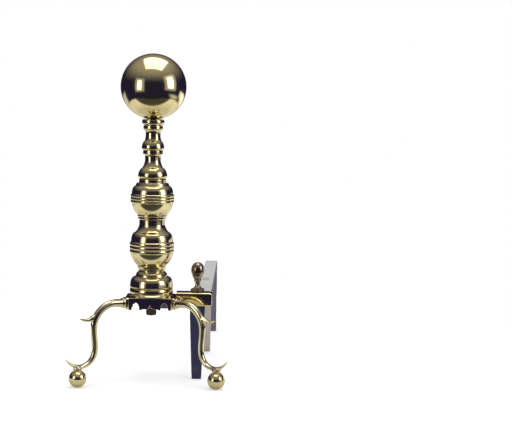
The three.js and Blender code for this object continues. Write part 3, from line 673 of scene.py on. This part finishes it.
def loft(name, stations, steps, rounding=0.75):
    """A skin over stations of (reach, height, half depth, half width), in millimetres."""
    routes = [Vector((s[0], s[1])) * MM for s in stations]
    girths = [Vector((s[2], s[3])) for s in stations]
    shares = [i / steps for i in range(steps + 1)]
    bpy.ops.object.select_all(action="DESELECT")
    bpy.ops.mesh.primitive_plane_add(size=2 * MM, location=(0, 0, 0))
    piece = bpy.context.object
    piece.name = name
    bpy.ops.object.mode_set(mode="EDIT")
    bpy.ops.mesh.select_all(action="SELECT")
    bpy.ops.mesh.bevel(offset=rounding * MM, segments=5, affect="VERTICES")
    centre, slope, size = Vector((0, 0, 0)), math.pi / 2, Vector((1, 1))
    for i, share in enumerate(shares):
        x, z = along_curve(routes, share)
        ahead = along_curve(routes, min(share + 0.001, 1)) - along_curve(
            routes, max(share - 0.001, 0)
        )
        turn = math.atan2(ahead.y, ahead.x)
        girth = along_curve(girths, share, 0.3)
        move = Vector((x, 0, z)) - centre
        centre = Vector((x, 0, z))
        if i == 0:
            bpy.ops.transform.translate(value=move)
        else:
            bpy.ops.mesh.extrude_region_move(TRANSFORM_OT_translate={"value": move})
        bpy.ops.transform.rotate(value=turn - slope, orient_axis="Y", center_override=centre)
        grow = (girth.x / size.x, girth.y / size.y, girth.x / size.x)
        bpy.ops.transform.resize(value=grow, center_override=centre)
        slope, size = turn, girth
    bpy.ops.mesh.select_all(action="SELECT")
    bpy.ops.mesh.normals_make_consistent(inside=False)
    bpy.ops.object.mode_set(mode="OBJECT")
    settle(piece)
    return piece


print("loft ready")

# %% Leg
PAD_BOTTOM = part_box("right_leg")[0].z / MM
ROOT_RISE = 85.9
ROOT_HEIGHT = PAD_BOTTOM + ROOT_RISE
LEG_START = 39.6
COLLAR_END = LEG_START + 4
FOOT_REACH = 115.3
SPLAY = math.radians(35)
LEG_STATIONS = [
    (COLLAR_END, ROOT_RISE, 6.1, 5.6), (62, 86.5, 5.2, 4.8), (74.5, 82.5, 5.1, 4.5),
    (84.5, 73.7, 5.1, 4.3), (90.2, 61.1, 4.7, 4.0), (90.6, 47.1, 4.2, 3.7),
    (89, 29.1, 4.2, 3.6), (90.6, 17.1, 4.0, 3.7), (97, 7.7, 3.4, 4.0),
    (106.5, 3.4, 2.9, 4.4), (FOOT_REACH, 3.1, 2.7, 4.4), (124.8, 7, 1.8, 2.9), (134, 15, 0.5, 0.7),
]
SPUR_STATIONS = [
    (85.5, 71, 4.5, 3.7), (92.5, 67.8, 4.0, 3.4), (98.8, 66.2, 2.6, 2.9), (105.5, 66.5, 1.7, 2.1),
    (113.3, 69.2, 0.5, 0.6),
]


def lifted(stations):
    """Stations measured from the bottom of the pad, moved up to where the foot carries it."""
    return [(reach, PAD_BOTTOM + height, *girth) for reach, height, *girth in stations]


body = loft("leg", lifted(LEG_STATIONS), steps=72, rounding=0.85)
spur = loft("spur", lifted(SPUR_STATIONS), steps=24)
pad = lathe(
    "pad", [(0, -0.1), (5.9, -0.1), (6.3, 0.5), (6.3, 1.8), (5.4, 3.0), (0, 3.4)],
    (FOOT_REACH * MM, 0), PAD_BOTTOM * MM, steps=48,
)
only(body, spur, pad)
bpy.ops.object.join()
apply_modifier(body, "REMESH", mode="VOXEL", voxel_size=0.5 * MM)
apply_modifier(body, "SMOOTH", factor=0.5, iterations=8)
print("leg body has", len(body.data.polygons), "faces")

# %% [markdown]
# The root of the leg has a square collar against the plinth and a plump bead behind it. They are
# lofted straight along X, with crisp chamfers that a smoothed mesh would lose.


# %% Collar and bead
def straight(reach_and_size):
    """Stations along X at the height of the leg's root."""
    return [(reach, ROOT_HEIGHT, depth, width) for reach, depth, width in reach_and_size]


collar = loft("collar", straight([
    (LEG_START, 7.2, 5.2), (LEG_START + 0.4, 7.6, 5.6), (COLLAR_END - 0.8, 7.6, 5.6),
    (COLLAR_END - 0.2, 7.1, 5.1), (COLLAR_END + 0.3, 6.0, 4.4),
]), steps=24, rounding=0.3)
bead = loft("bead", straight([
    (COLLAR_END - 0.6, 5.6, 4.8), (COLLAR_END + 0.3, 6.4, 5.7), (COLLAR_END + 1.7, 7.1, 6.4),
    (COLLAR_END + 3.2, 7.1, 6.4), (COLLAR_END + 4.5, 6.3, 5.6), (COLLAR_END + 5.2, 5.4, 4.8),
]), steps=30, rounding=0.8)
only(body, collar, bead)
bpy.ops.object.join()
other = body.copy()
other.data = body.data.copy()
bpy.context.scene.collection.objects.link(other)
for side, piece, turn in (("right", body, -SPLAY), ("left", other, math.pi + SPLAY)):
    piece.name = f"{side}_leg_brass"
    piece.matrix_world = Matrix.Translation((*AXIS, 0)) @ Matrix.Rotation(turn, 4, "Z")
    complete(piece, CAST, [f"{side}_leg"], angle=50)

# %% [markdown]
# A foot ball is turned with its neck in one piece. The floor has worn a small flat under it.

# %% Foot balls
FOOT_RADIUS = 12
WORN_FLAT = 2.4
NECK = 5.1
foot_middle = math.sqrt(FOOT_RADIUS ** 2 - WORN_FLAT ** 2)
neck_top = PAD_BOTTOM - 0.3
low_turn = -math.acos(WORN_FLAT / FOOT_RADIUS)
high_turn = math.acos(NECK / FOOT_RADIUS)
turns = [low_turn + (high_turn - low_turn) * i / 36 for i in range(37)]
foot_outline = [(0, 0)]
foot_outline += [
    (FOOT_RADIUS * math.cos(t), foot_middle + FOOT_RADIUS * math.sin(t)) for t in turns
]
foot_outline += bow(
    (NECK - 0.2, neck_top - 1.6), (NECK - 0.4, neck_top - 1), (NECK + 0.8, neck_top - 0.8), 6
)
foot_outline += [(NECK + 0.8, neck_top), (0, neck_top)]
for side in ("right", "left"):
    node = f"{side}_foot_ball"
    foot = lathe(f"{side}_foot_brass", foot_outline, middle(node).xy, 0, steps=72)
    complete(foot, POLISHED, [node], angle=40)

# %% [markdown]
# ## The plinth
# The plinth is a hollow box with eight sides: flat in front and behind, canted where the legs
# stand. Its skirt is scalloped by an arch at each side and a pointed bracket in the middle. It is
# carved with Boolean modifiers, as a pattern maker would saw it, and its edges are then bevelled.


# %% Carving helpers
def slab(name, corners, push):
    """A flat outline of points, pushed along a vector."""
    bpy.ops.object.select_all(action="DESELECT")
    bpy.ops.mesh.primitive_plane_add(size=MM, location=corners[0])
    piece = bpy.context.object
    piece.name = name
    bpy.ops.object.mode_set(mode="EDIT")
    bpy.ops.mesh.select_all(action="SELECT")
    bpy.ops.mesh.merge(type="CENTER")
    for last, corner in zip(corners, [*corners[1:], corners[0]]):
        step = Vector(corner) - Vector(last)
        bpy.ops.mesh.extrude_region_move(TRANSFORM_OT_translate={"value": step})
    bpy.ops.mesh.select_all(action="SELECT")
    bpy.ops.mesh.remove_doubles(threshold=1e-6)
    bpy.ops.mesh.edge_face_add()
    bpy.ops.mesh.extrude_region_move(TRANSFORM_OT_translate={"value": push})
    bpy.ops.mesh.select_all(action="SELECT")
    bpy.ops.mesh.normals_make_consistent(inside=False)
    bpy.ops.object.mode_set(mode="OBJECT")
    settle(piece)
    return piece


def block(low, high):
    """A box between two corners, for cutting."""
    low, high = Vector(low), Vector(high)
    bpy.ops.object.select_all(action="DESELECT")
    bpy.ops.mesh.primitive_cube_add(size=1, location=(low + high) / 2)
    piece = bpy.context.object
    piece.scale = high - low
    settle(piece)
    return piece


def drill(x, y, radius, low, high):
    """A vertical round cutter."""
    bpy.ops.object.select_all(action="DESELECT")
    bpy.ops.mesh.primitive_cylinder_add(
        vertices=64, radius=radius, depth=high - low, location=(x, y, (low + high) / 2)
    )
    piece = bpy.context.object
    settle(piece)
    return piece


def carve(piece, cutter, operation="DIFFERENCE"):
    """Cuts a piece with another one, which is used up."""
    apply_modifier(piece, "BOOLEAN", operation=operation, object=cutter, solver="EXACT")
    bpy.data.objects.remove(cutter)


print("carving tools ready")

# %% Plinth
SKIRT_WALL = 3 * MM
DECK = 3.8 * MM
FRONT_HALF_WIDTH = 29 * MM
SHEATH_WALL = 1.3 * MM
ARCH_PLACE = 20
ARCH_HALF_WIDTH = 5.2
ARCH_RISE = 10.2
HALF_BRACKET = [(12.2, -1), (12.2, 0), (10.6, 1.2), *bow((5.2, 1.2), (1.6, 2.2), (0, 7), 8)]
plinth_low, plinth_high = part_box("plinth")
half_side = (plinth_high.x - plinth_low.x) / 2
half_front = (plinth_high.y - plinth_low.y) / 2
leg_face = FRONT_HALF_WIDTH * math.cos(SPLAY) + half_front * math.sin(SPLAY)


def plinth_plan(inset, z):
    """The eight corners of the plinth at a height, all its sides moved in by an inset."""
    y = half_front - inset
    x = half_side - inset
    face = leg_face - inset
    front_x = (face - y * math.sin(SPLAY)) / math.cos(SPLAY)
    side_y = (face - x * math.cos(SPLAY)) / math.sin(SPLAY)
    quarter = [(front_x, -y), (x, -side_y), (x, side_y), (front_x, y)]
    plan = quarter + [(-px, py) for px, py in reversed(quarter)]
    return [Vector((AXIS[0] + px, AXIS[1] + py, z)) for px, py in plan]


plinth = slab("plinth_brass", plinth_plan(0, plinth_low.z), (0, 0, plinth_high.z - plinth_low.z))
below = plinth_low.z - MM
hollow_rise = plinth_high.z - DECK - below
carve(plinth, slab("hollow", plinth_plan(SKIRT_WALL, below), (0, 0, hollow_rise)))
front_y = AXIS[1] - half_front - MM
through = (0, 2 * half_front + 2 * MM, 0)
arch_turns = [math.pi * i / 24 for i in range(25)]
arch = [(ARCH_HALF_WIDTH * math.cos(t), ARCH_RISE * math.sin(t)) for t in arch_turns]
arch += [(-ARCH_HALF_WIDTH, -1), (ARCH_HALF_WIDTH, -1)]
bracket = HALF_BRACKET + [(-x, z) for x, z in reversed(HALF_BRACKET[:-1])]
for name, place, outline in (
    ("arch", -ARCH_PLACE, arch), ("arch", ARCH_PLACE, arch), ("bracket", 0, bracket),
):
    corners = [
        Vector((AXIS[0] + (place + x) * MM, front_y, plinth_low.z + z * MM)) for x, z in outline
    ]
    carve(plinth, slab(name, corners, through))
sheath_low, sheath_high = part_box("bar_sheath")
core_half = (sheath_high.y - sheath_low.y) / 2 - SHEATH_WALL
carve(plinth, block(
    (AXIS[0], AXIS[1] - core_half, below),
    (AXIS[0] + half_side + MM, AXIS[1] + core_half, plinth_high.z - DECK),
))
carve(plinth, drill(*AXIS, BORE * MM, below, plinth_high.z + MM))
apply_modifier(
    plinth, "BEVEL", width=0.5 * MM, segments=3, limit_method="ANGLE", angle_limit=math.radians(35)
)
complete(plinth, CAST, ["plinth"], angle=30, crisp=True)

# %% [markdown]
# ## The sheath
# A rounded brass box covers the crossbar from the plinth to its corner. Its far end is closed and
# its back is open where the bar turns to run back. The iron inside stops a hair short of it.

# %% Sheath
CORNER = 2.8 * MM
BAR_WIDTH = 19.8 * MM
BAR_GAP = 0.3 * MM
STUD_RADIUS = 3.3 * MM
spare = 2 * CORNER
sheath = block((sheath_low.x - spare, sheath_low.y, sheath_low.z), sheath_high)
sheath.name = "sheath_brass"
apply_modifier(sheath, "BEVEL", width=CORNER, segments=6, limit_method="NONE")
carve(sheath, block(
    (sheath_low.x - 2 * spare, sheath_low.y - MM, sheath_low.z - MM),
    (sheath_low.x, sheath_high.y + MM, sheath_high.z + MM),
))
inner_low = sheath_low + Vector((-MM, SHEATH_WALL, SHEATH_WALL))
inner_high = sheath_high - Vector((SHEATH_WALL, SHEATH_WALL, SHEATH_WALL))
carve(sheath, block(inner_low, inner_high))
bar_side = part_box("billet_bar")[1].x
carve(sheath, block(
    (bar_side - BAR_WIDTH - BAR_GAP, AXIS[1], inner_low.z),
    (inner_high.x, sheath_high.y + MM, inner_high.z),
))
stop_x = middle("log_stop_finial").x
carve(sheath, drill(stop_x, AXIS[1], STUD_RADIUS, sheath_low.z - MM, sheath_high.z + MM))
complete(sheath, POLISHED, ["bar_sheath"], angle=30, crisp=True)

# %% [markdown]
# ## Forged pieces
# The smith's pieces start from a copy of their solids, whose loose triangles are merged first. A
# Remesh modifier gives them an even skin, smoothing rounds the corners as hammering does, and
# soft clouds push the faces in and out by a fraction of a millimetre. Nothing may sink into the
# floor, so points below it are brought back up.

# %% Forged pieces
hammer_marks = bpy.data.textures.new("hammer marks", "CLOUDS")
hammer_marks.noise_scale = 0.011
hammer_marks.noise_depth = 2


def forged(name, node, voxel, smoothing, dents):
    """The smith's version of a solid. The voxel and the dents are in millimetres."""
    source = frame["nodes"][node]
    piece = bpy.data.objects.new(name, source.data.copy())
    bpy.context.scene.collection.objects.link(piece)
    only(piece)
    bpy.ops.object.mode_set(mode="EDIT")
    bpy.ops.mesh.select_all(action="SELECT")
    bpy.ops.mesh.remove_doubles(threshold=1e-6)
    bpy.ops.object.mode_set(mode="OBJECT")
    apply_modifier(piece, "REMESH", mode="VOXEL", voxel_size=voxel * MM)
    apply_modifier(piece, "SMOOTH", factor=0.5, iterations=smoothing)
    apply_modifier(
        piece, "DISPLACE", texture=hammer_marks, texture_coords="LOCAL",
        strength=dents * MM, mid_level=0.5,
    )
    for vertex in piece.data.vertices:
        vertex.co.z = max(vertex.co.z, 0)
    return piece


bar = forged("billet_bar_iron", "billet_bar", voxel=0.9, smoothing=3, dents=0.6)
complete(bar, BAR_IRON, ["billet_bar"], angle=60)
front = forged("front_leg_iron", "front_iron_leg", voxel=0.6, smoothing=3, dents=0.5)
complete(front, BLACK_IRON, ["front_iron_leg"], angle=60)
back = forged("middle_leg_iron", "middle_iron_leg", voxel=0.6, smoothing=3, dents=0.5)
complete(back, LEG_IRON, ["middle_iron_leg"], angle=60)

# %% [markdown]
# Under the plinth the rod ends in a nut on a washer. The nut is a hexagon whose lower corners
# are turned off, so a six-sided bar is intersected with a turned blank.

# %% Rod, washer and nut
WASHER_RADIUS = 7.8
ROD_RADIUS = 4
END_EASE = 0.7
nut_low, nut_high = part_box("rod_nut")
nut_height = (nut_high.z - nut_low.z) / MM
nut_radius = (nut_high.x - nut_low.x) / 2 / MM
bpy.ops.object.select_all(action="DESELECT")
bpy.ops.mesh.primitive_cylinder_add(
    vertices=6, radius=nut_radius * MM, depth=nut_high.z - nut_low.z,
    location=(*AXIS, (nut_low.z + nut_high.z) / 2), rotation=(0, 0, math.pi / 6),
)
nut = bpy.context.object
nut.name = "nut_iron"
settle(nut)
turned_off = lathe("blank", [
    (0, -0.01), (nut_radius * 0.84, -0.01),
    *bow((nut_radius * 0.88, 0.1), (nut_radius, 0.8), (nut_radius * 1.02, 1.9), 5),
    (nut_radius * 1.02, nut_height + 1), (0, nut_height + 1),
], AXIS, nut_low.z, steps=64)
carve(nut, turned_off, "INTERSECT")
carve(nut, drill(*AXIS, BORE * MM, nut_low.z - MM, nut_high.z + MM))
apply_modifier(
    nut, "BEVEL", width=0.2 * MM, segments=2, limit_method="ANGLE", angle_limit=math.radians(25)
)
complete(nut, RUSTED_IRON, ["rod_nut"], angle=30, crisp=True)
washer_low, washer_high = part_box("rod_washer")
thick = (washer_high.z - washer_low.z) / MM
washer = lathe("washer_iron", eased(
    [(BORE, 0), (WASHER_RADIUS, 0), (WASHER_RADIUS, thick), (BORE, thick), (BORE, 0)], 0.3
), AXIS, washer_low.z, steps=64)
complete(washer, RUSTED_IRON, ["rod_washer"], angle=30)
rod_low, rod_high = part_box("central_rod")
rod_length = (rod_high.z - rod_low.z) / MM
rod = lathe("rod_iron", [
    (0, 0), (ROD_RADIUS - END_EASE, 0), (ROD_RADIUS, END_EASE),
    (ROD_RADIUS, rod_length - END_EASE), (ROD_RADIUS - END_EASE, rod_length), (0, rod_length),
], AXIS, rod_low.z, steps=48)
complete(rod, BLACK_IRON, ["central_rod"], angle=30)

# %% [markdown]
# The ferrule inside the ball and the bolts inside the plinth are plain hidden hardware. Their
# solids stay as they are and only get a finish.

# %% Hidden hardware
for node, finish in (
    ("ball_ferrule", CAST), ("right_leg_bolt", BLACK_IRON), ("left_leg_bolt", BLACK_IRON),
):
    solid = frame["nodes"][node]
    solid.data.materials.clear()
    solid.data.materials.append(finish)
    print(node, "finished in", finish.name)
